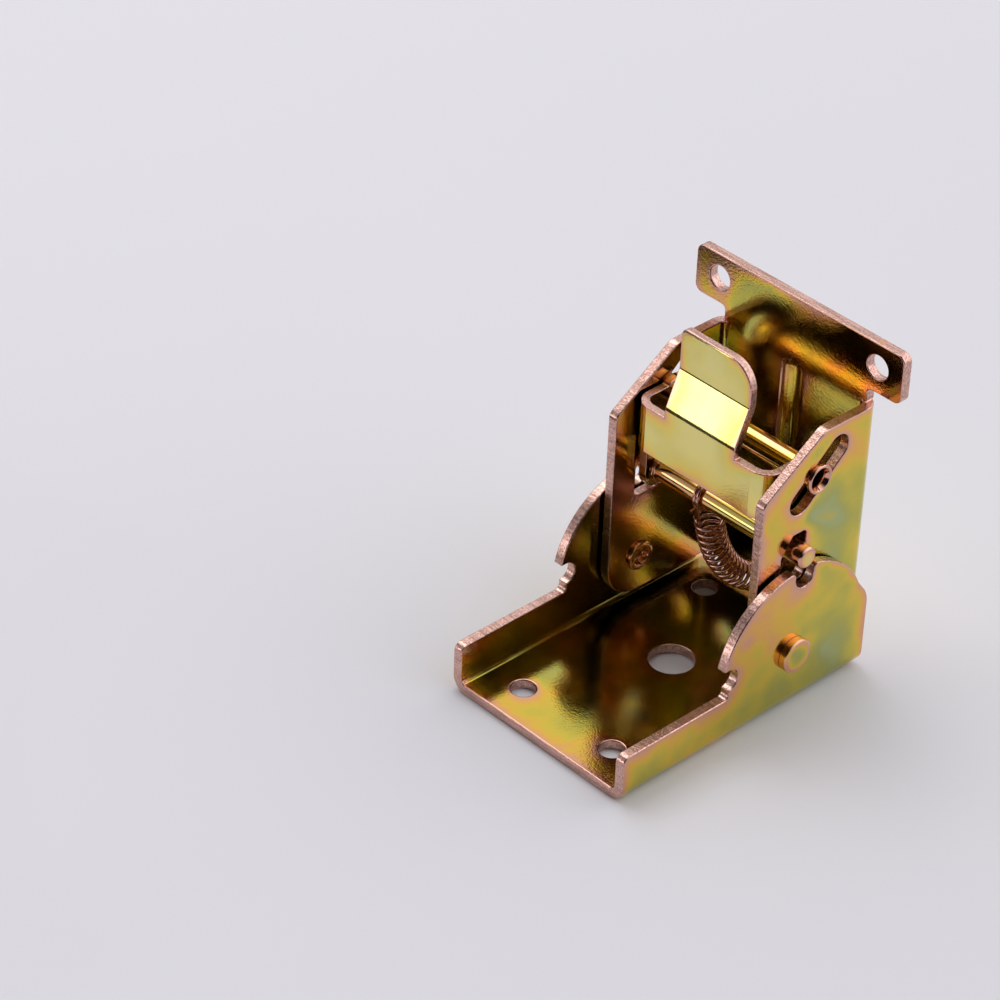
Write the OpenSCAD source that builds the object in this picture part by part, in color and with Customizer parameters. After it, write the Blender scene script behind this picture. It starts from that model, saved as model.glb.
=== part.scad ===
// Folding table leg bracket that locks at two angles. A channel-shaped base is screwed under
// the table and a second channel carries the leg. The leg turns on two short rivets, and a
// spring pulls a cross pin into the notches of the base's ears. Everything is in millimetres.
// Frame: X across the bracket, -Y towards the open end of the base, Z up from the table.
// The origin is the middle of the base's front edge, on its underside. The leg stands open,
// with the lever held in so that the cross pin is just clear of its notches.

/* [Sheet] */
// Thickness of the sheet of the base and the leg bracket
sheet_t = 1.8; // [1.6:0.1:2]
// Inside radius of the sheet's bends
bend_r = 1; // [0.8:0.1:1.2]

/* [Base] */
// Length of the base
base_l = 53.5; // [53:0.1:56]
// Height of the low side walls
wall_h = 8.8; // [8:0.1:9.4]
// Distance of the small holes from the middle of the base
base_hole_x = 9.95; // [9:0.05:11]
// Place of the front small holes
base_hole_y = 6.7; // [6:0.1:8]
// Place of the rear small holes
base_rear_hole_y = 47.3; // [45:0.1:48]
// Diameter of the small screw holes in both sheets
screw_hole_d = 4.2; // [3.8:0.1:4.6]
// Place of the large hole
big_hole_y = 29.7; // [28:0.1:31]
// Diameter of the large hole
big_hole_d = 7.5; // [7:0.1:8.5]

/* [Ears] */
// Distance of the pivot from the front edge of the base
pivot_y = 36.4; // [36:0.1:36.8]
// Height of the pivot
pivot_z = 10.85; // [10.8:0.05:11.2]
// Radius of the ear behind the open notch
ear_r = 16; // [15.7:0.1:16.4]
// Radius of the cam between the two notches
cam_r = 15.6; // [15.3:0.1:15.7]
// Radius of the rear bottom corner
ear_corner_r = 2; // [1:0.1:3]
// Radius of the front top corner of the low walls
wall_corner_r = 1.4; // [0.8:0.1:2]

/* [Leg bracket] */
// Play between the leg bracket and each ear
side_play = 0.45; // [0.3:0.05:0.6]
// Height of the leg bracket over the table
leg_h = 60; // [59:0.5:64]
// Width over the leg bracket's side walls
leg_w = 33.5; // [32:0.1:36]
// Place of the outer face of the back plate
back_y = 54.5; // [54.2:0.1:57]
// Radius of the side walls' round end about the pivot
leg_end_r = 6.9; // [6.6:0.1:7.2]
// Height of the side walls' front corner
front_corner_z = 40.4; // [40:0.1:41]
// Place of the corner between the slanted and the level top edge
top_corner_y = 42.3; // [41.5:0.1:43]
// Height of the side walls' top edge
top_edge_z = 48.8; // [48.5:0.1:49.2]
// Width over the screw tabs
tab_span = 43.8; // [43:0.1:45]
// Height of the screw tabs
tab_h = 8.7; // [8:0.1:9.2]
// Width of the neck under the tabs
neck_w = 30.4; // [30:0.1:31]
// Radius of the tabs' corners
tab_corner_r = 1.5; // [1:0.1:2]
// Distance of the tab holes from the middle
tab_hole_x = 16.7; // [16.4:0.1:17.5]
// Distance of the tab holes from the top edge
tab_hole_drop = 4.2; // [3.9:0.1:4.6]
// Distance of the lower small holes from the middle
low_hole_x = 9.8; // [9:0.1:10.5]
// Height of the row of three lower holes
low_hole_z = 14.2; // [13.5:0.1:15]
// Diameter of the middle hole of that row
low_hole_d = 6; // [5.5:0.1:6.5]
// Width of the slit that holds the spring
slit_w = 2.2; // [1.8:0.1:2.6]
// Height of the closed end of the slit
slit_top_z = 8; // [7.6:0.1:8.4]

/* [Stiffening bead] */
// Height of the lower end of the bead
bead_low_z = 23.3; // [22:0.1:25]
// Height of the upper end of the bead
bead_high_z = 48.6; // [47:0.1:50]
// How far the bead stands out of the back plate
bead_h = 1.1; // [0.9:0.05:1.2]
// Width of the bead
bead_w = 4.3; // [4:0.1:4.8]

/* [Lock pin] */
// Diameter of the lock pin
pin_d = 3.8; // [3.6:0.1:3.9]
// Distance of the pin's path behind the pivot
pin_back = 1.5; // [1.3:0.1:1.6]
// Distance of the pin from the pivot when it is locked
lock_r = 14.2; // [14:0.1:14.4]
// How far the pin stands out of the ears
pin_proud = 0.2; // [0.1:0.1:0.6]
// Play of the pin on the cam when the lever is held in
cam_play = 0.12; // [0.1:0.01:0.2]
// Play between the pin and the sides of its notches and slots
notch_play = 0.12; // [0.1:0.01:0.2]
// Height of the upper end of the pin's slots
pin_slot_top_z = 31.7; // [31.5:0.1:32]
// Diameter of the pin's shoulders inside the lever's arms
shoulder_d = 5.2; // [4.6:0.1:5.8]
// Width of those shoulders
shoulder_w = 0.8; // [0.6:0.1:1.2]

/* [Guide tube] */
// Outer diameter of the guide tube
tube_d = 4; // [3.8:0.1:4.2]
// Bore of the guide tube
tube_bore_d = 3.1; // [2.8:0.1:3.2]
// Diameter of the tube's flared ends
flare_d = 5.1; // [5:0.1:5.4]
// How far the flared ends stand out of the side walls
flare_proud = 0.75; // [0.6:0.05:0.9]
// Distance of the locked tube behind the pivot
tube_lock_back = 1.4; // [1.2:0.1:1.6]
// Height of the locked tube over the pivot
tube_lock_up = 26.8; // [26.6:0.1:27]
// Angle of the tube's slots over the table
slot_angle = 41; // [40:0.5:42]
// Travel that the tube's slots leave
slot_travel = 10.2; // [9.8:0.1:10.4]
// Play of the tube in its slots
slot_play = 0.25; // [0.22:0.01:0.3]

/* [Lever] */
// Thickness of the lever's sheet
lever_t = 1.5; // [1.3:0.1:1.6]
// Outer radius of the lever's corners
lever_corner_r = 3.5; // [3:0.1:3.9]
// Gap between the lever and the leg bracket's side walls
lever_gap = 0.35; // [0.25:0.05:0.45]
// Distance of the strap's front face ahead of the pin
strap_ahead = 5.7; // [5.3:0.1:5.9]
// Height of the strap's lower edge over the pin
strap_low = 6.2; // [5.8:0.1:6.6]
// Height of the strap
strap_h = 8.5; // [8:0.1:9]
// Width of the thumb tab
thumb_w = 15; // [13:0.5:17]
// Height of the straight stretch under the thumb tab's first bend
thumb_root = 1.7; // [1.4:0.1:2.2]
// Length of the slope between the thumb tab's bends
slope_l = 7; // [6.4:0.1:8]
// Lean of that slope
slope_angle = 22; // [18:0.5:25]
// Height of the thumb tab over its second bend
thumb_h = 7.2; // [6.6:0.1:8]
// Radius of the thumb tab's right corner
thumb_right_r = 4.6; // [3:0.1:6]
// Radius of the thumb tab's left corner
thumb_left_r = 1.2; // [0.8:0.1:2]
// Radius of the lever's arms about the pin and the tube
arm_r = 3.4; // [3.3:0.1:3.6]

/* [Rivets] */
// Diameter of the rivets' shanks
rivet_d = 4; // [3.8:0.1:4.4]
// Diameter of the outer heads
rivet_head_d = 6; // [5.6:0.1:6.6]
// Height of the outer heads
rivet_head_h = 1.4; // [1.2:0.1:1.6]
// Diameter of the inner heads
rivet_tail_d = 5.3; // [5.2:0.1:5.8]
// Height of the inner heads
rivet_tail_h = 0.7; // [0.5:0.1:0.9]
// Diameter of the hollow in the inner heads
rivet_hollow_d = 3; // [2.6:0.1:3.2]
// Depth of that hollow
rivet_hollow_h = 1.2; // [0.9:0.1:1.5]

/* [Spring] */
// Diameter of the spring's wire
wire_d = 0.65; // [0.5:0.05:0.7]
// Outer diameter of the spring's body
coil_d = 5; // [4:0.1:5.2]
// Turns in the spring's body
coil_turns = 15; // [10:1:16]
// Distance of the body's first turn from the pin's axis
coil_drop = 3.8; // [3.6:0.1:5]
// Turns round the lock pin
pin_turns = 2; // [2:1:3]
// Length of the loose end of the wire at the pin
wire_tip_l = 2.6; // [1:0.1:3]
// Distance of the turns round the pin to the left of the middle
hook_left = 2.4; // [1.8:0.1:3]

/* [Hidden] */

// Roundness of bores and arcs
$fn = 72;
// Overlap of shapes that are joined, and reach of cuts past a face
eps = 0.01;
// Play between a pin and its bore
bore_play = 0.06;
// Play between a piece and what it is pressed on
seat_play = 0.02;
// Steps in a quarter turn of a computed arc
arc_steps = 6;

zinc_olive = [0.69, 0.66, 0.33];
zinc_gold = [0.93, 0.72, 0.36];
zinc_silver = [0.80, 0.70, 0.68];

base_w = leg_w + 2 * (side_play + sheet_t);
bend_outer_r = bend_r + sheet_t;
ear_inner_x = base_w / 2 - sheet_t;
leg_outer_x = leg_w / 2;
leg_inner_x = leg_outer_x - sheet_t;
leg_front_y = pivot_y - leg_end_r;
leg_low_z = pivot_z - leg_end_r;
back_inner_y = back_y - sheet_t;
tab_low_z = leg_h - tab_h;

// The pin's path lies pin_back behind the pivot, and its height follows from its distance.
pin_r = pin_d / 2;
rest_r = cam_r + pin_r + cam_play;
pin_y = pivot_y + pin_back;
pin_lock_up = sqrt(lock_r * lock_r - pin_back * pin_back);
pin_rest_z = pivot_z + sqrt(rest_r * rest_r - pin_back * pin_back);
pin_lock_z = pivot_z + pin_lock_up;

// The lever keeps the tube and the pin apart by one length. The tube's travel from its locked
// place is the root of a quadratic, because it has to stay on its slanted slot.
slot_dir = [cos(slot_angle), sin(slot_angle)];
tube_lock = [pivot_y + tube_lock_back, pivot_z + tube_lock_up];
link = norm(tube_lock - [pin_y, pin_lock_z]);
tube_from_pin = tube_lock - [pin_y, pin_rest_z];
half_b = tube_from_pin * slot_dir;
tube_travel = -half_b + sqrt(half_b * half_b - tube_from_pin * tube_from_pin + link * link);
tube_rest = tube_lock + tube_travel * slot_dir;

// Lever, with its arms inside the leg bracket's walls
lever_x = leg_inner_x - lever_gap;
strap_y = pin_y - strap_ahead;
strap_low_z = pin_rest_z + strap_low;
strap_top_z = strap_low_z + strap_h;
thumb_root_z = strap_top_z + thumb_root;
thumb_y = strap_y + slope_l * sin(slope_angle);
thumb_bend_z = thumb_root_z + slope_l * cos(slope_angle);
thumb_top_z = thumb_bend_z + thumb_h;
shoulder_x = lever_x - lever_t - 0.1;

// Points of a closed outline whose corners [y, z, r] are rounded by arcs of radius r
function corner_arc(a, b, c, r) =
    let (u = (a - b) / norm(a - b), v = (c - b) / norm(c - b))
    let (half = acos(u * v) / 2)
    r == 0 ? [b] :
    let (mid = (u + v) / norm(u + v))
    let (centre = b + mid * r / sin(half))
    let (turn = 90 - half, side = u[0] * v[1] - u[1] * v[0] > 0 ? -1 : 1)
    let (start = atan2(-mid[1], -mid[0]))
    [for (i = [-arc_steps : arc_steps])
        let (angle = start + side * turn * i / arc_steps)
        centre + r * [cos(angle), sin(angle)]];
function rounded(corners) =
    let (n = len(corners), points = [for (c = corners) [c[0], c[1]]])
    [for (i = [0 : n - 1])
        each corner_arc(points[(i + n - 1) % n], points[i], points[(i + 1) % n], corners[i][2])];

// Extrudes an outline in Y and Z across the bracket, from x = -half to x = half
module across(half) {
    rotate([90, 0, 90])
        linear_extrude(2 * half, center = true)
            children();
}

// A pair of mirrored copies, on the left and on the right
module both_sides() {
    children();
    mirror([1, 0, 0]) children();
}

// A cylinder along X from x0 to x1, through the point [y, z]
module rod(at, d, x0, x1) {
    translate([x0, at[0], at[1]])
        rotate([0, 90, 0])
            cylinder(d = d, h = x1 - x0);
}

// A rectangle on the X axis whose two lower corners are round
module round_bottom(w, h, r) {
    translate([-w / 2, r]) square([w, h - r]);
    translate([-w / 2 + r, 0]) square([w - 2 * r, h]);
    for (side = [-1, 1])
        translate([side * (w / 2 - r), r]) circle(r);
}

// Cross-section of a folded channel that is open at the top
module channel(w, h, t, outer_r) {
    difference() {
        round_bottom(w, h, outer_r);
        translate([0, t]) round_bottom(w - 2 * t, h, outer_r - t);
    }
}

// A slot with round ends between two points
module slot(a, b, w) {
    run = b - a;
    translate(a) circle(d = w);
    translate(b) circle(d = w);
    translate(a)
        rotate(atan2(run[1], run[0]))
            translate([0, -w / 2]) square([norm(run), w]);
}

// Side view of the base: low walls, step, cam between the notches, and the ear's round back
module base_side() {
    step_y = pivot_y - lock_r + 0.3;
    notch_z = pivot_z + pin_back;
    join = 24;
    difference() {
        union() {
            polygon(rounded([[0, 0, 0], [pin_y, 0, 0], [pin_y, notch_z, 0], [step_y, notch_z, 0],
                [step_y, wall_h, 0.8], [0, wall_h, wall_corner_r]]));
            polygon(rounded([[pin_y - eps, 0, 0], [base_l, 0, ear_corner_r],
                [base_l, pivot_z + 3.2, 5],
                [pivot_y + ear_r * cos(join), pivot_z + ear_r * sin(join), 0],
                [pin_y - eps, pivot_z, 0]]));
            intersection() {
                translate([pivot_y, pivot_z]) circle(cam_r);
                translate([0, notch_z - eps]) square([pin_y, leg_h]);
            }
            intersection() {
                translate([pivot_y, pivot_z]) circle(ear_r);
                translate([pin_y - eps, pivot_z - eps]) square(2 * ear_r);
            }
        }
        open_notch();
        folded_notch();
    }
}

// Notch that holds the pin when the leg stands open, widened at its mouth
module open_notch() {
    w = pin_d + 2 * notch_play;
    mouth = 0.6;
    at = [pin_y, pin_lock_z];
    slot(at, at + [0, ear_r], w);
    translate([pin_y, pivot_z + cam_r])
        rotate(45) square((w + 2 * mouth) / sqrt(2), center = true);
}

// Notch that holds the pin when the leg is folded, a quarter turn on from the open notch
module folded_notch() {
    at = [pivot_y - pin_lock_up, pivot_z + pin_back];
    slot(at, at - [ear_r, 0], pin_d + 2 * notch_play);
}

// Folded channel with two ears, screw holes in its floor and a large hole in the middle
module base_bracket() {
    color(zinc_olive)
    difference() {
        intersection() {
            translate([0, base_l, 0])
                rotate([90, 0, 0])
                    linear_extrude(base_l)
                        channel(base_w, pivot_z + ear_r + 1, sheet_t, bend_outer_r);
            across(base_w) base_side();
        }
        both_sides()
            for (y = [base_hole_y, base_rear_hole_y])
                translate([base_hole_x, y, -eps])
                    cylinder(d = screw_hole_d, h = sheet_t + 2 * eps);
        translate([0, big_hole_y, -eps])
            cylinder(d = big_hole_d, h = sheet_t + 2 * eps);
        rod([pivot_y, pivot_z], rivet_d + 2 * seat_play, -base_w, base_w);
    }
}

// Side view of the leg bracket: round end about the pivot and slanted front corner
module leg_side() {
    translate([pivot_y, pivot_z]) circle(leg_end_r);
    polygon(rounded([[pivot_y, pivot_z, 0], [pivot_y, leg_low_z, 0], [back_y, leg_low_z, 0],
        [back_y, top_edge_z, 0], [top_corner_y, top_edge_z, 2],
        [leg_front_y, front_corner_z, 1.6], [leg_front_y, pivot_z, 0]]));
}

// Slot of the lock pin: straight behind, slanted in front, and narrow at the top
module pin_slot() {
    rear = pin_y + pin_r + notch_play;
    front = pin_y - pin_r - notch_play;
    low = pin_lock_z - pin_r - 0.15;
    polygon(rounded([[front - 1.3, low, 1], [rear, low, 1], [rear, pin_slot_top_z, 0.9],
        [front + 0.9, pin_slot_top_z, 0.6], [front - 1.3, pin_rest_z, 1]]));
}

// Face of the back plate with its neck and the two screw tabs
module back_face() {
    half = tab_span / 2;
    relief = 0.8;
    neck = neck_w / 2;
    flat = leg_outer_x - bend_outer_r;
    polygon(rounded([[-flat, leg_low_z + 1, 0], [flat, leg_low_z + 1, 0], [flat, top_edge_z, 0],
        [neck, top_edge_z, 0], [neck, tab_low_z, relief], [half, tab_low_z, tab_corner_r],
        [half, leg_h, tab_corner_r], [-half, leg_h, tab_corner_r],
        [-half, tab_low_z, tab_corner_r], [-neck, tab_low_z, relief], [-neck, top_edge_z, 0],
        [-flat, top_edge_z, 0]]));
}

// A straight round-ended ridge of radius r along Z, centred at y
module bead(y, r, shorten) {
    low = bead_low_z + shorten;
    high = bead_high_z - shorten;
    translate([0, y, low]) cylinder(r = r, h = high - low);
    for (z = [low, high])
        translate([0, y, z]) sphere(r);
}

// Radius of a round ridge of a given width and height
function ridge_r(w, h) = (w * w / 4 + h * h) / (2 * h);

// Folded channel that carries the leg: back plate with tabs and bead, and two side walls
module leg_bracket() {
    ridge = ridge_r(bead_w, bead_h);
    hollow = ridge_r(bead_w + 0.3, bead_h);
    color(zinc_olive)
    difference() {
        union() {
            intersection() {
                translate([0, back_y, 0])
                    rotate([0, 0, 180])
                        linear_extrude(leg_h)
                            channel(leg_w, back_y, sheet_t, bend_outer_r);
                across(leg_w) leg_side();
            }
            translate([0, back_y, 0])
                rotate([90, 0, 0])
                    linear_extrude(sheet_t) back_face();
            intersection() {
                bead(back_y + bead_h - ridge, ridge, ridge - bead_h);
                translate([-bead_w, back_inner_y + eps, 0]) cube([2 * bead_w, bead_w, leg_h]);
            }
        }
        bead(back_inner_y + bead_h - hollow, hollow, hollow - bead_h);
        both_sides() {
            back_hole(tab_hole_x, leg_h - tab_hole_drop, screw_hole_d);
            back_hole(low_hole_x, low_hole_z, screw_hole_d);
        }
        back_hole(0, low_hole_z, low_hole_d);
        translate([-slit_w / 2, back_inner_y - 1, 0])
            cube([slit_w, sheet_t + 2, slit_top_z - slit_w / 2]);
        back_hole(0, slit_top_z - slit_w / 2, slit_w);
        across(leg_w) {
            pin_slot();
            slot(tube_lock, tube_lock + slot_travel * slot_dir, tube_d + 2 * slot_play);
        }
        rod([pivot_y, pivot_z], rivet_d + 2 * bore_play, -leg_w, leg_w);
    }
}

// A hole through the back plate
module back_hole(x, z, d) {
    translate([x, back_y + 1, z])
        rotate([90, 0, 0])
            cylinder(d = d, h = sheet_t + 2);
}

// Side view of the lever's strap and arms
module lever_side() {
    pin = [pin_y, pin_rest_z];
    back = tube_rest - pin;
    turn = atan2(back[1], back[0]);
    polygon([[strap_y, strap_low_z], [pin_y - arm_r, strap_low_z], [pin_y - arm_r, pin_rest_z],
        [pin_y, pin_rest_z], tube_rest, [tube_rest[0], strap_top_z], [strap_y, strap_top_z]]);
    translate(pin) circle(arm_r);
    translate(tube_rest) circle(arm_r);
    translate(pin)
        rotate(turn)
            translate([0, -arm_r]) square([link, 2 * arm_r]);
}

// Side view of the thumb tab: up, back along the slope, and up again
module thumb_side() {
    lift = lever_t * tan(slope_angle / 2);
    root = strap_top_z - 1;
    back_y1 = strap_y + lever_t;
    back_y2 = thumb_y + lever_t;
    polygon(rounded([[strap_y, root, 0], [back_y1, root, 0], [back_y1, thumb_root_z - lift, 1],
        [back_y2, thumb_bend_z - lift, 1 + lever_t], [back_y2, thumb_top_z, 0.3],
        [thumb_y, thumb_top_z, 0.3], [thumb_y, thumb_bend_z, 1],
        [strap_y, thumb_root_z, 1 + lever_t]]));
}

// Front view of the thumb tab, with one large and one small corner
module thumb_front() {
    half = thumb_w / 2;
    polygon(rounded([[-half, strap_top_z - 1, 0], [half, strap_top_z - 1, 0],
        [half, thumb_top_z, thumb_right_r], [-half, thumb_top_z, thumb_left_r]]));
}

// Folded lever: strap across the front, two arms on the pin and the tube, and a thumb tab
module release_lever() {
    color(zinc_olive)
    difference() {
        union() {
            intersection() {
                translate([0, strap_y, 0])
                    linear_extrude(leg_h)
                        channel(2 * lever_x, leg_h, lever_t, lever_corner_r);
                across(leg_w) lever_side();
            }
            intersection() {
                across(thumb_w) thumb_side();
                translate([0, back_y, 0])
                    rotate([90, 0, 0])
                        linear_extrude(back_y) thumb_front();
            }
        }
        rod([pin_y, pin_rest_z], pin_d + 2 * bore_play, -leg_w, leg_w);
        rod(tube_rest, tube_d + 2 * bore_play, -leg_w, leg_w);
    }
}

// A solid of revolution about the X axis through [y, z], from an outline of [x, radius]
module turned(at, points) {
    translate([0, at[0], at[1]])
        rotate([0, 90, 0])
            rotate_extrude()
                polygon([for (p = points) [p[1], p[0]]]);
}

// Cross pin with chamfered ends, and two shoulders that keep it centred between the arms
module lock_pin() {
    end = base_w / 2 + pin_proud;
    chamfer = 0.3;
    low = shoulder_x - shoulder_w;
    r = shoulder_d / 2;
    color(zinc_gold)
    turned([pin_y, pin_rest_z], [[-end, 0], [-end, pin_r - chamfer], [-end + chamfer, pin_r],
        [-shoulder_x, pin_r], [-shoulder_x, r], [-low, r], [-low, pin_r], [low, pin_r], [low, r],
        [shoulder_x, r], [shoulder_x, pin_r], [end - chamfer, pin_r], [end, pin_r - chamfer],
        [end, 0]]);
}

// Hollow cross tube that rides in the slanted slots and is flared over at both ends
module guide_tube() {
    wall_x = leg_outer_x + 0.1;
    end = leg_outer_x + flare_proud;
    bore = tube_bore_d / 2;
    outer = tube_d / 2;
    flare = flare_d / 2;
    mouth = bore + 0.45;
    color(zinc_gold)
    turned(tube_rest, [[-end, mouth], [-end, flare - 0.2], [-end + 0.2, flare],
        [-wall_x, flare], [-wall_x, outer], [wall_x, outer], [wall_x, flare],
        [end - 0.2, flare], [end, flare - 0.2], [end, mouth], [end - 0.9, bore],
        [-end + 0.9, bore]]);
}

// Short rivet through an ear and the leg bracket's wall, with a hollow closed head inside
module pivot_rivet() {
    face = base_w / 2 + seat_play;
    tail = leg_inner_x - seat_play;
    shank = rivet_d / 2;
    head = rivet_head_d / 2;
    color(zinc_olive)
    turned([pivot_y, pivot_z], [[tail - rivet_tail_h + rivet_hollow_h, 0],
        [tail - rivet_tail_h + rivet_hollow_h, rivet_hollow_d / 2],
        [tail - rivet_tail_h, rivet_hollow_d / 2], [tail - rivet_tail_h, rivet_tail_d / 2 - 0.3],
        [tail - rivet_tail_h + 0.3, rivet_tail_d / 2], [tail, rivet_tail_d / 2], [tail, shank],
        [face, shank], [face, head], [face + rivet_head_h - 0.3, head],
        [face + rivet_head_h, head - 0.3], [face + rivet_head_h, 0]]);
}

module pivot_rivet_right() {
    pivot_rivet();
}

module pivot_rivet_left() {
    mirror([1, 0, 0]) pivot_rivet();
}

// The spring's wire runs round the pin, down its bowed body and into the slit
wire_r = wire_d / 2;
wire_sides = 6;
turn_steps = 12;
hook_r = pin_r + wire_r + 0.08;
hook_pitch = wire_d * 1.06;
coil_r = (coil_d - wire_d) / 2;
slit_seat = [0, back_y - sheet_t / 2, slit_top_z - wire_r - 0.06];
pin_seat = [-hook_left, pin_y, pin_rest_z];
// The body's centre line is a curve from the pin to the slit that bows towards this point
bow = [-hook_left * 0.7, pin_y + 1.4, slit_top_z + 1];
function line_at(t) = (1 - t) * (1 - t) * pin_seat + 2 * t * (1 - t) * bow + t * t * slit_seat;
function line_dir(t) = unit((1 - t) * (bow - pin_seat) + t * (slit_seat - bow));
// Length of that line from the pin up to each of its stations, with the station's place on it
line_steps = 40;
stations = [for (i = 0, run = 0; i <= line_steps; i = i + 1,
        run = run + norm(line_at(i / line_steps) - line_at((i - 1) / line_steps)))
    [run, i / line_steps]];
line_l = stations[line_steps][0];
slit_leg = 5;
coil_pitch = (line_l - coil_drop - slit_leg) / coil_turns;
// The turns round the pin end where the wire leaves towards the body
leave_angle = atan2(line_dir(0)[2], line_dir(0)[1]) - 90;
hook_steps = pin_turns * turn_steps - 3;
function hook_point(i) =
    let (angle = leave_angle - 360 * (hook_steps - i) / turn_steps)
    pin_seat + [(i - hook_steps) * hook_pitch / turn_steps,
        hook_r * cos(angle), hook_r * sin(angle)];
function coil_point(i) =
    let (t = lookup(coil_drop + coil_pitch * i / turn_steps, stations))
    let (u = unit(cross([1, 0, 0], line_dir(t))), v = cross(line_dir(t), u))
    let (angle = 180 + 360 * i / turn_steps)
    line_at(t) + coil_r * (u * cos(angle) + v * sin(angle));
wire_path = concat(
    [hook_point(0) - [0, wire_tip_l, 0.3]],
    [for (i = [0 : hook_steps]) hook_point(i)],
    [for (i = [0 : coil_turns * turn_steps]) coil_point(i)],
    [line_at(lookup(line_l - 3.2, stations)), slit_seat - [0, 1.6, -0.3], slit_seat,
        slit_seat + [0, 1.6, -0.4], slit_seat + [0, 2.1, -1.4]]);

function unit(v) = v / norm(v);
function tangent(path, i) =
    unit(path[min(i + 1, len(path) - 1)] - path[max(i - 1, 0)]);
// Carries a side direction to the next point of the path without twisting it
function next_side(s, i) =
    let (t = tangent(wire_path, i))
    unit(s - t * (s * t));
function wire_ring(path, sides, i) =
    let (t = tangent(path, i), u = sides[i], v = cross(t, u))
    [for (k = [0 : wire_sides - 1])
        path[i] + wire_r * (u * cos(360 * k / wire_sides) + v * sin(360 * k / wire_sides))];

// Tension spring that pulls the pin down into its notches
module return_spring() {
    n = len(wire_path);
    first = unit(cross(tangent(wire_path, 0), [1, 0.2, 0.3]));
    sides = [for (i = 0, s = first; i < n; i = i + 1, s = i < n ? next_side(s, i) : s) s];
    points = [for (i = [0 : n - 1]) each wire_ring(wire_path, sides, i)];
    walls = [for (i = [0 : n - 2], k = [0 : wire_sides - 1])
        let (a = i * wire_sides + k, b = i * wire_sides + (k + 1) % wire_sides)
        [a, b, b + wire_sides, a + wire_sides]];
    caps = [[for (k = [wire_sides - 1 : -1 : 0]) k],
        [for (k = [0 : wire_sides - 1]) (n - 1) * wire_sides + k]];
    color(zinc_silver)
    polyhedron(points, concat(walls, caps));
}

base_bracket();
leg_bracket();
release_lever();
lock_pin();
guide_tube();
pivot_rivet_left();
pivot_rivet_right();
return_spring();
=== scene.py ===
import math

import bmesh
import bpy
import numpy as np
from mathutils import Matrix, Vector, kdtree
from mathutils.bvhtree import BVHTree


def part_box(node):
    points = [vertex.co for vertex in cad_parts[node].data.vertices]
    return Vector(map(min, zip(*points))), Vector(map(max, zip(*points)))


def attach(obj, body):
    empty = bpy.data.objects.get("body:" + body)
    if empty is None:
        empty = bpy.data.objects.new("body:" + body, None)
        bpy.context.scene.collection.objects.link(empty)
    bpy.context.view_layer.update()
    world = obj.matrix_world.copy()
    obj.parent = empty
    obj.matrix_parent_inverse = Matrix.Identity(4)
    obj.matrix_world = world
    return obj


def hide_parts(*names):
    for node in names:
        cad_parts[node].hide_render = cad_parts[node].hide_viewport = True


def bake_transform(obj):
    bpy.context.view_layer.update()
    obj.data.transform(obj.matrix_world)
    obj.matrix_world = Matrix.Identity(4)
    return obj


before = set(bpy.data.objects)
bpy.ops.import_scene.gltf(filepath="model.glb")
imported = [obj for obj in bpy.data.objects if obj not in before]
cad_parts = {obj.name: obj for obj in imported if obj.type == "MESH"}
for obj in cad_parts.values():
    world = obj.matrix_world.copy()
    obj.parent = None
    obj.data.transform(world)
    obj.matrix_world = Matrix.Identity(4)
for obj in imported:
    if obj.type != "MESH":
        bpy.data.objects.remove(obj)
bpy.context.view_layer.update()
scene = bpy.context.scene
scene.view_settings.view_transform = "Standard"
MM = 0.001


# Base: one blank of 1.8 mm steel sheet, punched with its holes and notches and then folded up at
# both sides. It is barrel plated with zinc and dipped in a yellow chromate, whose film is thin and
# rose at every cut edge and grows through gold to olive on the open faces.
def put(tree, kind, inputs=None, **settings):
    """Adds a node. An input is given as a plain value or as the output that feeds it."""
    made = tree.nodes.new(kind)
    for name, value in settings.items():
        setattr(made, name, value)
    for name, value in (inputs or {}).items():
        if isinstance(value, bpy.types.NodeSocket):
            tree.links.new(value, made.inputs[name])
        else:
            made.inputs[name].default_value = value
    return made


def sums(tree, how, *terms):
    """One arithmetic step on plain values or outputs."""
    return put(tree, "ShaderNodeMath", dict(enumerate(terms)), operation=how).outputs[0]


def open_group(name, kind, takes, gives):
    """A node group with named sockets. Each takes entry is (name, socket type, value)."""
    tree = bpy.data.node_groups.new(name, kind)
    for label, sort, value in takes:
        socket = tree.interface.new_socket(name=label, in_out="INPUT", socket_type=sort)
        if value is not None:
            socket.default_value = value
    for label, sort in gives:
        tree.interface.new_socket(name=label, in_out="OUTPUT", socket_type=sort)
    return tree, tree.nodes.new("NodeGroupInput").outputs, tree.nodes.new("NodeGroupOutput").inputs


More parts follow.
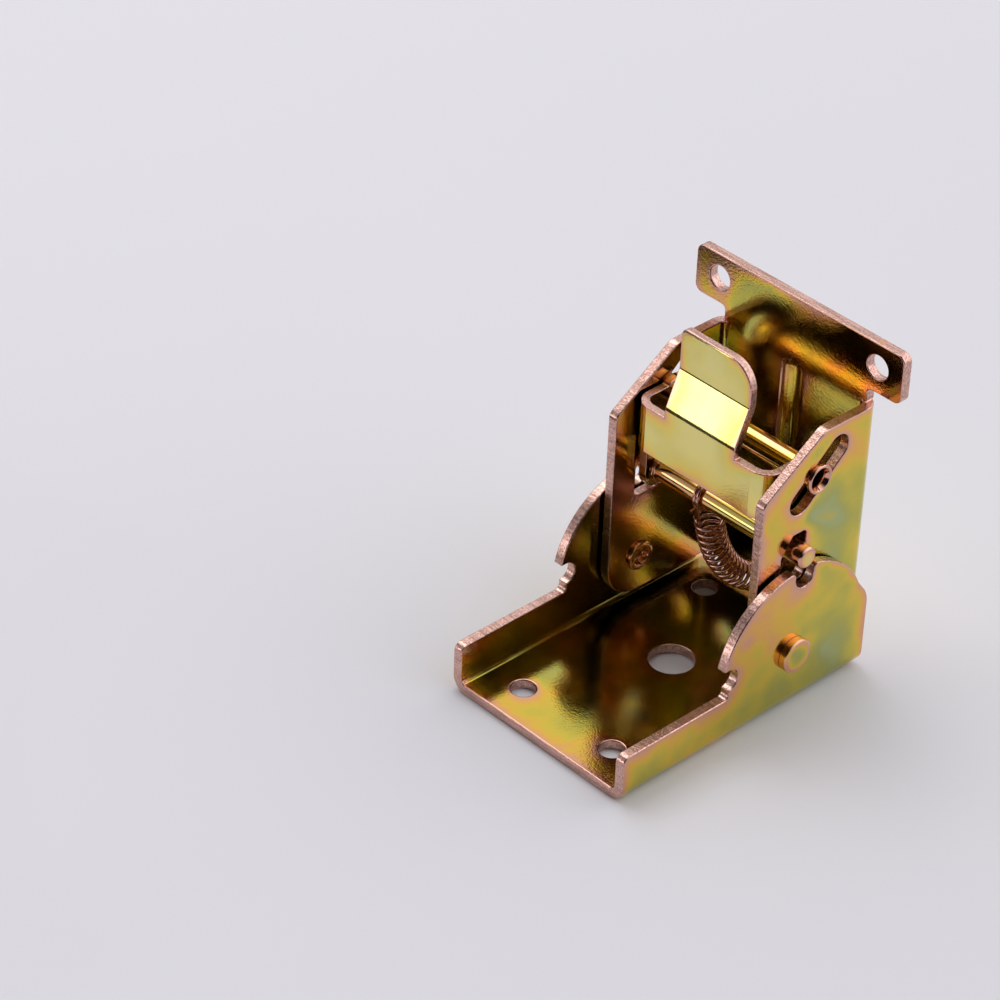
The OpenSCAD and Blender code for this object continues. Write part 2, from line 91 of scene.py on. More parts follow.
def film_group():
    """Colour of the chromate film: rose at the rims, then orange, yellow, olive and green, darkened in the
    hollows by painted shade.
    """
    tree, takes, gives = open_group(
        "chromate_film", "ShaderNodeTree",
        [("Place", "NodeSocketVector", None), ("Rim", "NodeSocketFloat", 5.0),
         ("Cut", "NodeSocketFloat", 0.0), ("Thickness", "NodeSocketFloat", 0.0),
         ("Drift", "NodeSocketFloat", 1.0), ("Paleness", "NodeSocketFloat", 0.0),
         ("Pale Tone", "NodeSocketColor", (1.0, 0.90, 0.20, 1.0)), ("Hollow", "NodeSocketFloat", 0.0),
         ("Dulling And Shade", "NodeSocketFloat", 0.85)],
        [("Colour", "NodeSocketColor")])
    clouds = put(tree, "ShaderNodeTexNoise", {"Vector": takes["Place"], "Scale": 70.0, "Detail": 2.5})
    patches = put(tree, "ShaderNodeTexNoise", {"Vector": takes["Place"], "Scale": 290.0, "Detail": 3.0})
    edging = put(tree, "ShaderNodeTexNoise", {"Vector": takes["Place"], "Scale": 120.0, "Detail": 2.0})
    specks = put(tree, "ShaderNodeTexNoise", {"Vector": takes["Place"], "Scale": 3200.0, "Detail": 1.0})
    drift = sums(tree, "MULTIPLY", sums(tree, "SUBTRACT", clouds.outputs["Fac"], 0.5), takes["Drift"])
    ripple = sums(tree, "MULTIPLY", sums(tree, "SUBTRACT", patches.outputs["Fac"], 0.5), takes["Drift"])
    grit = sums(tree, "SUBTRACT", specks.outputs["Fac"], 0.5)
    # The film grows away from the edge, over 1 to 4 mm
    border = put(tree, "ShaderNodeMapRange", {"Value": edging.outputs["Fac"], "From Min": 0.35,
                                              "From Max": 0.66, "To Min": 0.7, "To Max": 3.6}).outputs[0]
    reach = sums(tree, "SUBTRACT", 1.0, sums(
        tree, "POWER", 2.718, sums(tree, "MULTIPLY", -1.0, sums(tree, "DIVIDE", takes["Rim"], border))))
    open_face = sums(tree, "ADD", sums(tree, "ADD", takes["Thickness"], 5.6), sums(
        tree, "ADD", sums(tree, "MULTIPLY", drift, 19.0), sums(tree, "MULTIPLY", ripple, 3.0)))
    depth = sums(tree, "ADD", sums(tree, "MULTIPLY", reach, open_face), sums(tree, "MULTIPLY", grit, 1.2))
    ramp = put(tree, "ShaderNodeValToRGB", {"Fac": sums(tree, "DIVIDE", depth, 10.0)})
    stops = [(0.0, (0.62, 0.34, 0.28)), (0.10, (0.77, 0.40, 0.23)), (0.19, (0.82, 0.44, 0.13)),
             (0.27, (0.80, 0.50, 0.08)), (0.36, (0.71, 0.54, 0.075)), (0.50, (0.58, 0.50, 0.085)),
             (0.64, (0.50, 0.46, 0.095)), (0.80, (0.42, 0.43, 0.13)), (0.92, (0.40, 0.46, 0.20)),
             (1.0, (0.52, 0.46, 0.12))]
    bar = ramp.color_ramp
    while len(bar.elements) < len(stops):
        bar.elements.new(0.5)
    for stop, (at, colour) in zip(bar.elements, stops):
        stop.position = at
        stop.color = (*colour, 1)
    # Punched and sheared faces: pinkish tan, with streaks that run along the punch's stroke
    stroke = put(tree, "ShaderNodeMapping", {"Vector": takes["Place"], "Scale": (160.0, 1900.0, 1900.0)})
    streaks = put(tree, "ShaderNodeTexNoise", {"Vector": stroke.outputs[0], "Scale": 1.0, "Detail": 2.0})
    shear = put(tree, "ShaderNodeValToRGB", {"Fac": sums(
        tree, "ADD", sums(tree, "MULTIPLY", streaks.outputs["Fac"], 0.6), sums(
            tree, "ADD", 0.2, sums(tree, "MULTIPLY", grit, 0.6)))})
    for stop, (at, colour) in zip(shear.color_ramp.elements, (
            (0.36, (0.42, 0.25, 0.20)), (0.62, (0.80, 0.49, 0.42)))):
        stop.position = at
        stop.color = (*colour, 1)
    pale = put(tree, "ShaderNodeMix", data_type="RGBA")
    tree.links.new(sums(tree, "MULTIPLY", takes["Paleness"], reach), pale.inputs[0])
    tree.links.new(ramp.outputs["Color"], pale.inputs[6])
    tree.links.new(takes["Pale Tone"], pale.inputs[7])
    whole = put(tree, "ShaderNodeMix", data_type="RGBA")
    tree.links.new(takes["Cut"], whole.inputs[0])
    tree.links.new(pale.outputs[2], whole.inputs[6])
    tree.links.new(shear.outputs["Color"], whole.inputs[7])
    # Painted shade: where the point lies deep inside, the film colour is drawn towards a dark olive. It
    # stands partly for the shade in the recesses and partly for the thinner, duller zinc and film laid down
    # there
    dull_and_shade = put(tree, "ShaderNodeMix", data_type="RGBA")
    tree.links.new(sums(tree, "MULTIPLY", takes["Hollow"], takes["Dulling And Shade"]), dull_and_shade.inputs[0])
    tree.links.new(whole.outputs[2], dull_and_shade.inputs[6])
    dull_and_shade.inputs[7].default_value = (0.17, 0.145, 0.07, 1)
    tree.links.new(dull_and_shade.outputs[2], gives["Colour"])
    return tree


def grain_group():
    """Height and gloss of the plated skin: fine orange peel, grit, and a few long scuffs."""
    tree, takes, gives = open_group(
        "plated_skin", "ShaderNodeTree",
        [("Place", "NodeSocketVector", None), ("Cut", "NodeSocketFloat", 0.0),
         ("Gloss", "NodeSocketFloat", 0.2), ("Peel", "NodeSocketFloat", 1.0)],
        [("Height", "NodeSocketFloat"), ("Roughness", "NodeSocketFloat")])
    peel = put(tree, "ShaderNodeTexNoise", {"Vector": takes["Place"], "Scale": 1100.0, "Detail": 2.0})
    grit = put(tree, "ShaderNodeTexNoise", {"Vector": takes["Place"], "Scale": 3100.0, "Detail": 3.0})
    worn = put(tree, "ShaderNodeTexNoise", {"Vector": takes["Place"], "Scale": 260.0, "Detail": 4.0,
                                            "Roughness": 0.6})
    long_way = put(tree, "ShaderNodeMapping", {"Vector": takes["Place"], "Rotation": (0.3, 0.5, 0.9),
                                               "Scale": (5200.0, 140.0, 5200.0)})
    scuffs = put(tree, "ShaderNodeTexNoise", {"Vector": long_way.outputs[0], "Scale": 1.0, "Detail": 1.0})
    deep = put(tree, "ShaderNodeMapRange", {"Value": scuffs.outputs["Fac"], "From Min": 0.68,
                                            "From Max": 0.78, "To Max": -0.12}).outputs[0]
    # The sheared faces are rougher than the rolled ones
    coarse = sums(tree, "ADD", 1.0, sums(tree, "MULTIPLY", takes["Cut"], 1.3))
    height = sums(tree, "ADD", sums(tree, "MULTIPLY", peel.outputs["Fac"], takes["Peel"]),
                  sums(tree, "MULTIPLY", grit.outputs["Fac"], coarse))
    tree.links.new(sums(tree, "ADD", height, deep), gives["Height"])
    spread = put(tree, "ShaderNodeMapRange", {"Value": worn.outputs["Fac"], "From Min": 0.35,
                                              "From Max": 0.7, "To Min": 0.8, "To Max": 1.35})
    gloss = sums(tree, "MULTIPLY", spread.outputs[0], takes["Gloss"])
    tree.links.new(sums(tree, "ADD", gloss, sums(tree, "MULTIPLY", takes["Cut"], 0.16)), gives["Roughness"])
    return tree


chromate_film = film_group()
plated_skin = grain_group()


def zinc(name, thickness, drift, gloss, peel, relief, shift=(0, 0, 0), paleness=0.0,
         pale_tone=(1.0, 0.90, 0.20, 1.0), dulling_and_shade=0.85):
    """Plated steel. Thickness moves the film's colour, relief is the height of its grain in mm, and the last
    argument sets how strongly painted shade darkens the hollows.
    """
    made = bpy.data.materials.new(name)
    made.use_nodes = True
    tree = made.node_tree
    shader = tree.nodes["Principled BSDF"]
    shader.inputs["Metallic"].default_value = 1.0
    place = put(tree, "ShaderNodeMapping", {
        "Vector": put(tree, "ShaderNodeTexCoord").outputs["Object"], "Location": shift}).outputs[0]
    rim = put(tree, "ShaderNodeAttribute", attribute_name="rim").outputs["Fac"]
    cut = put(tree, "ShaderNodeAttribute", attribute_name="cut").outputs["Fac"]
    hollow = put(tree, "ShaderNodeAttribute", attribute_name="hollow").outputs["Fac"]
    film = put(tree, "ShaderNodeGroup", node_tree=chromate_film)
    skin = put(tree, "ShaderNodeGroup", node_tree=plated_skin)
    for node, label, value in ((film, "Place", place), (film, "Rim", rim), (film, "Cut", cut),
                               (film, "Hollow", hollow),
                               (skin, "Place", place), (skin, "Cut", cut)):
        tree.links.new(value, node.inputs[label])
    film.inputs["Thickness"].default_value = thickness
    film.inputs["Drift"].default_value = drift
    film.inputs["Paleness"].default_value = paleness
    film.inputs["Pale Tone"].default_value = pale_tone
    film.inputs["Dulling And Shade"].default_value = dulling_and_shade
    skin.inputs["Gloss"].default_value = gloss
    skin.inputs["Peel"].default_value = peel
    tree.links.new(film.outputs["Colour"], shader.inputs["Base Color"])
    tree.links.new(skin.outputs["Roughness"], shader.inputs["Roughness"])
    bump = put(tree, "ShaderNodeBump", {"Strength": 1.0, "Distance": relief * MM,
                                        "Height": skin.outputs["Height"]})
    tree.links.new(bump.outputs[0], shader.inputs["Normal"])
    return made


def firm_shading(mesh):
    """Normals that keep each face flat up to its broken edge, so that only that edge turns."""
    count = len(mesh.polygons)
    area, total, broken = np.empty(count), np.empty(count, int), np.empty(count, int)
    normal, corner = np.empty(count * 3), np.empty(len(mesh.loops), int)
    mesh.polygons.foreach_get("area", area)
    mesh.polygons.foreach_get("loop_total", total)
    mesh.polygons.foreach_get("normal", normal)
    mesh.attributes["broken"].data.foreach_get("value", broken)
    mesh.loops.foreach_get("vertex_index", corner)
    face = np.repeat(np.arange(count), total)
    normal = normal.reshape(-1, 3)
    firm = np.zeros((len(mesh.vertices), 3))
    np.add.at(firm, corner, (normal * (area * (broken == 0))[:, None])[face])
    soft = np.zeros_like(firm)
    np.add.at(soft, corner, (normal * area[:, None])[face])
    lone = np.linalg.norm(firm, axis=1) < 1e-12
    firm[lone] = soft[lone]
    length = np.linalg.norm(firm, axis=1)
    length[length == 0] = 1
    mesh.shade_smooth()
    mesh.normals_split_custom_set_from_vertices((firm / length[:, None]).tolist())


def new_piece(name, mesh, material):
    """An object at the origin with one material."""
    mesh.materials.clear()
    mesh.materials.append(material)
    piece = bpy.data.objects.new(name, mesh)
    scene.collection.objects.link(piece)
    return piece


around = bmesh.new()
for node in ("base_bracket", "leg_bracket", "release_lever"):
    around.from_mesh(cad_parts[node].data)
all_sheets = BVHTree.FromBMesh(around)
around.free()
SPREAD = [(math.sqrt((k + 0.5) / 14), 2.39996 * k) for k in range(14)]


def hollow_depth(place, normal):
    """How deep a point lies inside the bracket: 0 in the open, 1 where it sees little of the room."""
    side = normal.orthogonal().normalized()
    other = normal.cross(side)
    start = place + normal * 0.05 * MM
    blocked = 0
    for r, turn in SPREAD:
        way = side * r * math.cos(turn) + other * r * math.sin(turn) + normal * math.sqrt(1 - r * r)
        blocked += all_sheets.ray_cast(start, way, 80 * MM)[0] is not None
    return min(1.0, max(0.0, (blocked / len(SPREAD) - 0.38) / 0.5))


def pressed_sheet(node, name, thickness, edge_round, pitch, material):
    """The solid of a node with its edges broken, cut into small faces that carry the rim distance."""
    bm = bmesh.new()
    bm.from_mesh(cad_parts[node].data)
    bmesh.ops.remove_doubles(bm, verts=bm.verts, dist=0.02 * MM)
    bmesh.ops.dissolve_limit(bm, angle_limit=math.radians(0.4), verts=bm.verts, edges=bm.edges)
    sharp = [e for e in bm.edges if len(e.link_faces) == 2 and e.calc_face_angle(0) > math.radians(38)]
    rim_points = []
    for e in sharp:
        a, b = (v.co.copy() for v in e.verts)
        steps = max(1, int((b - a).length / (0.3 * MM)))
        rim_points += [a.lerp(b, i / steps) for i in range(steps + 1)]
    solid = BVHTree.FromBMesh(bm)
    mark = bm.faces.layers.int.new("broken")
    made = bmesh.ops.bevel(bm, geom=sharp, offset=edge_round, segments=3, profile=0.5,
                           affect="EDGES", clamp_overlap=False, loop_slide=False)
    for f in made["faces"]:
        f[mark] = 1
    # A point that the bevel threw off the solid is drawn back into its nearest good neighbour
    stray = {v for v in bm.verts if solid.find_nearest(v.co)[3] > 0.12 * MM}
    homes = {}
    for v in stray:
        good = [e.other_vert(v) for e in v.link_edges if e.other_vert(v) not in stray]
        if good:
            homes[v] = min(good, key=lambda w: (w.co - v.co).length)
    bmesh.ops.weld_verts(bm, targetmap=homes)
    bmesh.ops.dissolve_degenerate(bm, dist=0.002 * MM, edges=bm.edges)
    low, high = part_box(node)
    for axis in range(3):
        square = Vector([float(i == axis) for i in range(3)])
        for i in range(1, int((high[axis] - low[axis]) / pitch) + 1):
            at = low.copy()
            at[axis] += i * pitch
            bmesh.ops.bisect_plane(bm, geom=bm.verts[:] + bm.edges[:] + bm.faces[:], plane_co=at,
                                   plane_no=square, dist=0.01 * MM)
    bmesh.ops.triangulate(bm, faces=[f for f in bm.faces if len(f.verts) > 4])
    tree = kdtree.KDTree(len(rim_points))
    for i, p in enumerate(rim_points):
        tree.insert(p, i)
    tree.balance()
    rim = bm.verts.layers.float.new("rim")
    hollow = bm.verts.layers.float.new("hollow")
    bm.normal_update()
    # The hollow depth stored here darkens the film colour: painted shade in the recesses
    for v in bm.verts:
        v[rim] = min(12.0, tree.find(v.co)[2] / MM)
        v[hollow] = hollow_depth(v.co, v.normal)
    # A face with more metal behind it than the sheet's thickness is a cut edge
    cut = bm.faces.layers.float.new("cut")
    for f in bm.faces:
        start = f.calc_center_median() - f.normal * 0.02 * MM
        behind = solid.ray_cast(start, -f.normal)[3]
        f[cut] = 1.0 if behind is None or behind > thickness + 0.3 * MM else 0.0
    mesh = bpy.data.meshes.new(name)
    bm.to_mesh(mesh)
    bm.free()
    firm_shading(mesh)
    return new_piece(name, mesh, material)


base_zinc = zinc("base_zinc", 0.0, 1.0, 0.09, 0.3, 0.015)
base_sheet = pressed_sheet("base_bracket", "base_sheet", 1.8 * MM, 0.22 * MM, 1.0 * MM, base_zinc)
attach(base_sheet, "base")
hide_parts("base_bracket")

# Leg bracket: the same sheet and plating, folded into a channel whose back plate carries the leg.
# Its back plate has two screw tabs and a stiffening bead pressed out of it.
# Its hollows get less of the painted shade than the base's
leg_zinc = zinc("leg_zinc", 0.0, 1.0, 0.09, 0.3, 0.015, shift=(0.31, 0.12, 0.05), dulling_and_shade=0.2)
leg_sheet = pressed_sheet("leg_bracket", "leg_sheet", 1.8 * MM, 0.22 * MM, 1.0 * MM, leg_zinc)
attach(leg_sheet, "leg")
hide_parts("leg_bracket")


# Pivot rivets: turned steel, one through each ear, with a flat outer head and an inner end that is
# hollow and closed over the leg bracket's wall. They are plated with the rest.
def rounded_outline(outline, steps=5):
    """Points (x, radius, broken) of an outline whose corners (x, radius, round) are broken."""
    points = [Vector(p[:2]) for p in outline]
    done = []
    for i, (x, y, r) in enumerate(outline):
        here = points[i]
        if r == 0:
            done.append((x, y, 0))
            continue
        back, on = points[i - 1] - here, points[(i + 1) % len(points)] - here
        reach = min(r, 0.45 * back.length, 0.45 * on.length)
        a, b = here + back.normalized() * reach, here + on.normalized() * reach
        for k in range(steps + 1):
            t = k / steps
            p = a * (1 - t) ** 2 + here * 2 * t * (1 - t) + b * t * t
            done.append((p.x, p.y, 1 if k < steps else 0))
    return done


def turned(name, centre, outline, around=72):
    """A turned mesh about the X line through centre, from an outline given in mm."""
    rings = rounded_outline(outline)
    bm = bmesh.new()
    mark = bm.faces.layers.int.new("broken")
    rim = bm.verts.layers.float.new("rim")
    corners = [Vector(p[:2]) for p in outline if p[2] > 0]
    rows = []
    for x, r, _ in rings:
        near = min((Vector((x, r)) - c).length for c in corners)
        row = []
        for k in range(around if r > 1e-6 else 1):
            angle = 2 * math.pi * k / around
            v = bm.verts.new((x * MM, centre[0] + r * MM * math.cos(angle),
                              centre[1] + r * MM * math.sin(angle)))
            v[rim] = near
            row.append(v)
        rows.append(row)
    for i, row in enumerate(rows):
        after = rows[(i + 1) % len(rows)]
        for k in range(around):
            loop = [row[k % len(row)], row[(k + 1) % len(row)],
                    after[(k + 1) % len(after)], after[k % len(after)]]
            loop = list(dict.fromkeys(loop))
            if len(loop) > 2:
                bm.faces.new(loop)[mark] = rings[i][2]
    bmesh.ops.recalc_face_normals(bm, faces=bm.faces)
    mesh = bpy.data.meshes.new(name)
    bm.to_mesh(mesh)
    bm.free()
    firm_shading(mesh)
    return mesh


def run_tree(name, tree, values, start=None):
    """The plain mesh that a geometry tree makes, with its inputs set by name."""
    holder = bpy.data.objects.new(name, start or bpy.data.meshes.new(name))
    scene.collection.objects.link(holder)
    make = holder.modifiers.new("make", "NODES")
    make.node_group = tree
    for item in tree.interface.items_tree:
        if item.in_out == "INPUT" and item.name in values:
            make[item.identifier] = values[item.name]
    bpy.context.view_layer.update()
    mesh = bpy.data.meshes.new_from_object(holder.evaluated_get(bpy.context.evaluated_depsgraph_get()))
    bpy.data.objects.remove(holder)
    return mesh


def pair_tree():
    """Sets its mesh at both ends of a line along X, and turns the left one round."""
    tree, takes, gives = open_group(
        "rivet_pair", "GeometryNodeTree",
        [("Rivet", "NodeSocketGeometry", None), ("Reach", "NodeSocketFloat", 0.0),
         ("Pivot", "NodeSocketVector", None), ("Finish", "NodeSocketMaterial", None)],
        [("Pair", "NodeSocketGeometry")])
    left = put(tree, "ShaderNodeCombineXYZ", {"X": sums(tree, "MULTIPLY", takes["Reach"], -1.0)})
    step = put(tree, "ShaderNodeCombineXYZ", {"X": sums(tree, "MULTIPLY", takes["Reach"], 2.0)})
    first = put(tree, "ShaderNodeVectorMath", {0: left.outputs[0], 1: takes["Pivot"]}, operation="ADD")
    row = put(tree, "GeometryNodeMeshLine", {"Count": 2, "Start Location": first.outputs[0],
                                             "Offset": step.outputs[0]})
    side = put(tree, "GeometryNodeInputIndex").outputs[0]
    about = sums(tree, "MULTIPLY", sums(tree, "SUBTRACT", 1.0, side), math.pi)
    turn = put(tree, "ShaderNodeCombineXYZ", {"Z": about})
    placed = put(tree, "GeometryNodeInstanceOnPoints", {
        "Points": row.outputs[0], "Instance": takes["Rivet"], "Rotation": turn.outputs[0]})
    real = put(tree, "GeometryNodeRealizeInstances", {"Geometry": placed.outputs[0]})
    done = put(tree, "GeometryNodeSetMaterial", {"Geometry": real.outputs[0], "Material": takes["Finish"]})
    tree.links.new(done.outputs[0], gives["Pair"])
    return tree


rivet_low, rivet_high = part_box("pivot_rivet_right")
pivot = (rivet_low + rivet_high) / 2
head_r = (rivet_high.z - rivet_low.z) / 2 / MM
base_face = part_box("base_bracket")[1].x / MM
rivet_end, rivet_tail = rivet_high.x / MM, rivet_low.x / MM
shank_r, inner_head_r, inner_head_t, hollow_floor = 2, 2.65, 0.7, 1.3
under_head = base_face + 0.02
rivet_outline = [(rivet_tail + hollow_floor, 0, 0), (rivet_tail + 1.15, 1.2, 0.25), (rivet_tail, 1.62, 0.25),
                 (rivet_tail, 2.3, 0.3), (rivet_tail + 0.3, inner_head_r, 0.2),
                 (rivet_tail + inner_head_t, inner_head_r, 0.1), (rivet_tail + inner_head_t, shank_r, 0),
                 (under_head, shank_r, 0), (under_head, head_r, 0.1), (rivet_end - 0.25, head_r, 0.25),
                 (rivet_end, head_r - 0.45, 0.25), (rivet_end, 0, 0)]
one_rivet = turned("one_rivet", (0, 0), [(x - rivet_end, r, b) for x, r, b in rivet_outline])
rivet_zinc = zinc("rivet_zinc", 5.5, 1.0, 0.20, 1.2, 0.010, shift=(0.7, 0, 0.2))
rivet_mesh = run_tree("pivot_rivets", pair_tree(), {
    "Reach": rivet_high.x, "Pivot": (0, pivot.y, pivot.z), "Finish": rivet_zinc}, start=one_rivet)
pivot_rivets = new_piece("pivot_rivets", rivet_mesh, rivet_zinc)
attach(pivot_rivets, "base")
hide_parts("pivot_rivet_left", "pivot_rivet_right")

# Release lever: thinner sheet folded into a strap with two arms and a cranked thumb tab. The arms
# are bored for the cross pin and the guide tube.
lever_zinc = zinc("lever_zinc", 0.6, 1.0, 0.11, 0.35, 0.012, shift=(0.05, 0.4, 0.17), paleness=0.66,
                  pale_tone=(1.0, 0.85, 0.34, 1.0))
lever_sheet = pressed_sheet("release_lever", "lever_sheet", 1.5 * MM, 0.2 * MM, 0.8 * MM, lever_zinc)
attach(lever_sheet, "lever")
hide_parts("release_lever")

# Guide tube: a short steel tube through the lever's arms and both slanted slots, flared over at its
# ends so that it can't slip out.
pin_zinc = zinc("pin_zinc", 1.5, 0.2, 0.13, 0.5, 0.003, shift=(0.2, 0.2, 0.6), paleness=0.5,
                pale_tone=(1.0, 0.85, 0.52, 1.0))
tube_low, tube_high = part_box("guide_tube")
tube_centre = (tube_low + tube_high) / 2
tube_end, flare_r = tube_high.x / MM, (tube_high.z - tube_low.z) / 2 / MM
bore_r, tube_r = 1.55, 2
under_flare = tube_end - 0.65
half_tube = [(tube_end - 1.0, bore_r, 0.3), (tube_end - 0.05, 2.05, 0.15), (tube_end, flare_r - 0.2, 0.15),
             (tube_end - 0.25, flare_r, 0.15), (under_flare, flare_r, 0.1), (under_flare, tube_r, 0)]
tube_outline = half_tube + [(-x, r, b) for x, r, b in reversed(half_tube)]
guide_tube = new_piece("guide_tube_turned", turned(
    "guide_tube_turned", (tube_centre.y, tube_centre.z), tube_outline), pin_zinc)
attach(guide_tube, "lever")
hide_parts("guide_tube")

# Lock pin: a drawn steel pin with chamfered ends and two shoulders that keep it centred between the
# lever's arms. It is plated bright.
pin_low, pin_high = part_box("lock_pin")
pin_centre = (pin_low + pin_high) / 2
pin_end, shoulder_r = pin_high.x / MM, (pin_high.z - pin_low.z) / 2 / MM
pin_r, chamfer, shoulder_out, shoulder_in = 1.9, 0.35, 13.0, 12.2
half_pin = [(pin_end, 0, 0), (pin_end, pin_r - chamfer, 0.15), (pin_end - chamfer, pin_r, 0.15),
            (shoulder_out, pin_r, 0), (shoulder_out, shoulder_r, 0.2), (shoulder_in, shoulder_r, 0.2),
            (shoulder_in, pin_r, 0)]
pin_outline = half_pin + [(-x, r, b) for x, r, b in reversed(half_pin)]
lock_pin = new_piece("lock_pin_turned", turned(
    "lock_pin_turned", (pin_centre.y, pin_centre.z), pin_outline), pin_zinc)
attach(lock_pin, "pin")
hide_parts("lock_pin")


# Return spring: one length of spring wire, wound twice round the pin, down a bowed body of open
# turns and through the slit of the back plate.
def wire_tree():
    """Wire round the pin, along a bowed line and on through the given end points."""
    tip_droop = 0.115
    tree, takes, gives = open_group(
        "wound_wire", "GeometryNodeTree",
        [("End Points", "NodeSocketGeometry", None), ("Pin Seat", "NodeSocketVector", None),
         ("Bow", "NodeSocketVector", None), ("Slit Seat", "NodeSocketVector", None),
         ("Wire Radius", "NodeSocketFloat", 0.0), ("Coil Radius", "NodeSocketFloat", 0.0),
         ("Hook Radius", "NodeSocketFloat", 0.0), ("Hook Pitch", "NodeSocketFloat", 0.0),
         ("Leave Angle", "NodeSocketFloat", 0.0), ("Tip", "NodeSocketFloat", 0.0),
         ("Coil Drop", "NodeSocketFloat", 0.0), ("Slit Leg", "NodeSocketFloat", 0.0),
         ("Coil Turns", "NodeSocketInt", 1), ("Hook Steps", "NodeSocketInt", 1),
         ("Turn Steps", "NodeSocketInt", 1), ("Finish", "NodeSocketMaterial", None)],
        [("Wire", "NodeSocketGeometry")])
    index = put(tree, "GeometryNodeInputIndex").outputs[0]
    # Turns round the pin, with one point more for the loose tip
    count = sums(tree, "SUBTRACT", sums(tree, "SUBTRACT", index, 1.0), takes["Hook Steps"])
    back = sums(tree, "MINIMUM", sums(tree, "DIVIDE", count, takes["Turn Steps"]), 0.0)
    back = sums(tree, "MAXIMUM", back, sums(tree, "MULTIPLY", -1.0, sums(
        tree, "DIVIDE", takes["Hook Steps"], takes["Turn Steps"])))
    angle = sums(tree, "ADD", takes["Leave Angle"], sums(tree, "MULTIPLY", back, 2 * math.pi))
    tip = sums(tree, "MULTIPLY", sums(tree, "LESS_THAN", index, 0.5), takes["Tip"])
    behind = sums(tree, "MULTIPLY", sums(tree, "COSINE", angle), takes["Hook Radius"])
    above = sums(tree, "MULTIPLY", sums(tree, "SINE", angle), takes["Hook Radius"])
    ring = put(tree, "ShaderNodeCombineXYZ", {
        "X": sums(tree, "MULTIPLY", back, takes["Hook Pitch"]),
        "Y": sums(tree, "SUBTRACT", behind, tip),
        "Z": sums(tree, "SUBTRACT", above, sums(tree, "MULTIPLY", tip, tip_droop))})
    at_pin = put(tree, "ShaderNodeVectorMath", {0: takes["Pin Seat"], 1: ring.outputs[0]}, operation="ADD")
    hook = put(tree, "GeometryNodeMeshLine", {"Count": sums(tree, "ADD", takes["Hook Steps"], 2.0)})
    hook = put(tree, "GeometryNodeSetPosition", {
        "Geometry": hook.outputs[0], "Position": at_pin.outputs[0]})
    # Body along the bowed line
    line = put(tree, "GeometryNodeCurveQuadraticBezier", {
        "Resolution": 96, "Start": takes["Pin Seat"], "Middle": takes["Bow"], "End": takes["Slit Seat"]})
    length = put(tree, "GeometryNodeCurveLength", {"Curve": line.outputs[0]}).outputs[0]
    body = put(tree, "GeometryNodeTrimCurve", {"Curve": line.outputs[0]}, mode="LENGTH")
    tree.links.new(takes["Coil Drop"], [s for s in body.inputs if s.name == "Start" and s.enabled][0])
    tree.links.new(sums(tree, "SUBTRACT", length, takes["Slit Leg"]),
                   [s for s in body.inputs if s.name == "End" and s.enabled][0])
    body = put(tree, "GeometryNodeResampleCurve", {"Curve": body.outputs[0], "Count": sums(
        tree, "ADD", sums(tree, "MULTIPLY", takes["Coil Turns"], takes["Turn Steps"]), 1.0)})
    along = put(tree, "GeometryNodeInputTangent").outputs[0]
    side = put(tree, "ShaderNodeVectorMath", {0: (1, 0, 0), 1: along}, operation="CROSS_PRODUCT")
    side = put(tree, "ShaderNodeVectorMath", {0: side.outputs[0]}, operation="NORMALIZE")
    other = put(tree, "ShaderNodeVectorMath", {0: along, 1: side.outputs[0]}, operation="CROSS_PRODUCT")
    share = put(tree, "GeometryNodeSplineParameter").outputs["Factor"]
    wound = sums(tree, "MULTIPLY", sums(tree, "MULTIPLY", share, takes["Coil Turns"]), 2 * math.pi)
    wound = sums(tree, "ADD", wound, math.pi)
    a = put(tree, "ShaderNodeVectorMath", {0: side.outputs[0], "Scale": sums(
        tree, "MULTIPLY", takes["Coil Radius"], sums(tree, "COSINE", wound))}, operation="SCALE")
    b = put(tree, "ShaderNodeVectorMath", {0: other.outputs[0], "Scale": sums(
        tree, "MULTIPLY", takes["Coil Radius"], sums(tree, "SINE", wound))}, operation="SCALE")
    off = put(tree, "ShaderNodeVectorMath", {0: a.outputs[0], 1: b.outputs[0]}, operation="ADD")
    body = put(tree, "GeometryNodeSetPosition", {"Geometry": body.outputs[0], "Offset": off.outputs[0]})
    body = put(tree, "GeometryNodeCurveToPoints", {"Curve": body.outputs[0]}, mode="EVALUATED")
    # One smooth wire through all of these, in their order
    joined = put(tree, "GeometryNodeJoinGeometry")
    hook = put(tree, "GeometryNodeMeshToPoints", {"Mesh": hook.outputs[0]})
    tail = put(tree, "GeometryNodeMeshToPoints", {"Mesh": takes["End Points"]})
    for part, first in ((hook, 0.0), (body, 1000.0), (tail, 9000.0)):
        named = put(tree, "GeometryNodeStoreNamedAttribute", {
            "Geometry": part.outputs[0], "Name": "order",
            "Value": sums(tree, "ADD", index, first)}, data_type="FLOAT")
        tree.links.new(named.outputs[0], joined.inputs[0])
    order = put(tree, "GeometryNodeInputNamedAttribute", {"Name": "order"}, data_type="FLOAT")
    wire = put(tree, "GeometryNodePointsToCurves", {
        "Points": joined.outputs[0], "Weight": order.outputs[0]})
    wire = put(tree, "GeometryNodeCurveSplineType", {"Curve": wire.outputs[0]}, spline_type="CATMULL_ROM")
    wire = put(tree, "GeometryNodeSetSplineResolution", {"Geometry": wire.outputs[0], "Resolution": 3})
    round_wire = put(tree, "GeometryNodeCurvePrimitiveCircle", {
        "Resolution": 12, "Radius": takes["Wire Radius"]})
    skin = put(tree, "GeometryNodeCurveToMesh", {
        "Curve": wire.outputs[0], "Profile Curve": round_wire.outputs[0], "Fill Caps": True})
    skin = put(tree, "GeometryNodeSetShadeSmooth", {"Geometry": skin.outputs[0]})
    skin = put(tree, "GeometryNodeRealizeInstances", {"Geometry": skin.outputs[0]})
    skin = put(tree, "GeometryNodeSetMaterial", {"Geometry": skin.outputs[0], "Material": takes["Finish"]})
    tree.links.new(skin.outputs[0], gives["Wire"])
    return tree


